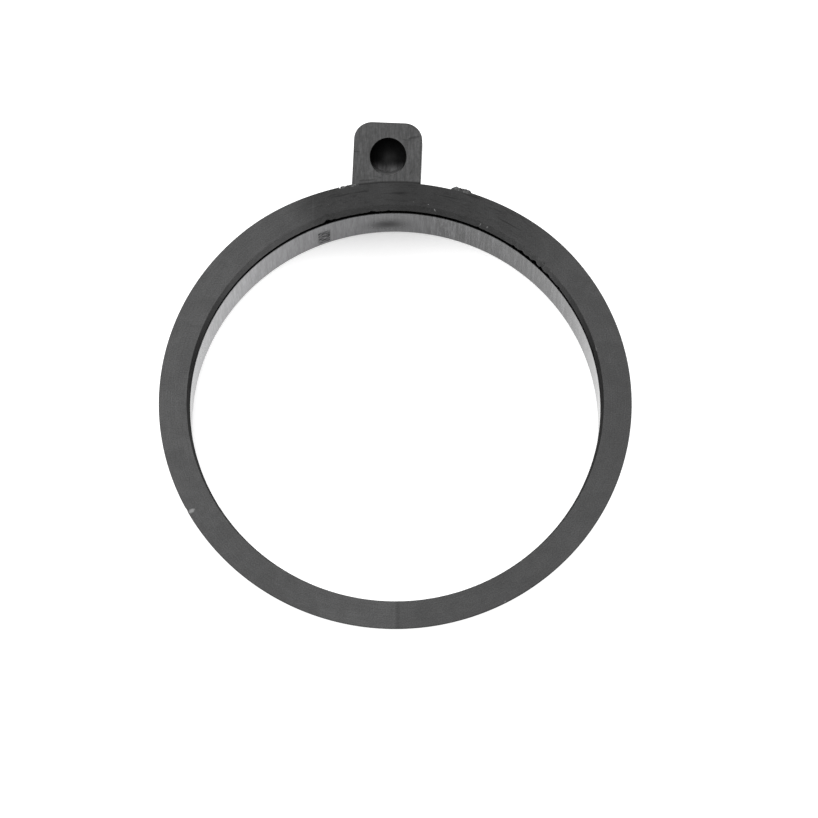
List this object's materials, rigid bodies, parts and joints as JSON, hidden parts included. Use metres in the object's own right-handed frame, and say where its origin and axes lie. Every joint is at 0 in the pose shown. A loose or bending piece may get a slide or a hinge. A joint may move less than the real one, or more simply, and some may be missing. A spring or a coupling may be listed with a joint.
{
  "type": "survey prism ring holder",
  "caption": "Open round holder for a survey prism: flat black front ring on a glossy sleeve with a retaining groove, and a leaning lug that has a blind inclined socket.",
  "frame": {"origin": "on the bore's axis, in the plane of the sleeve's back rim", "axes": "+Z along the bore axis out of the front face, +Y towards the lug, +X to the right seen from the front"},
  "size_m": [0.0738, 0.0871, 0.0115],
  "materials": {
    "satin_black": "satin black, fine turned marks, small bright chips",
    "gloss_black": "gloss black, fine axial streaks",
    "brushed_black": "satin black over straight brushed marks",
    "bond_residue": "dull hardened bonding compound, rough"
  },
  "bodies": {
    "root": {"face_ring": "satin_black", "bore_sleeve": "gloss_black", "lug_saddle": "satin_black", "mounting_lug": "brushed_black", "bond_bead_left": "bond_residue", "bond_bead_right": "bond_residue"}
  },
  "joints": []
}
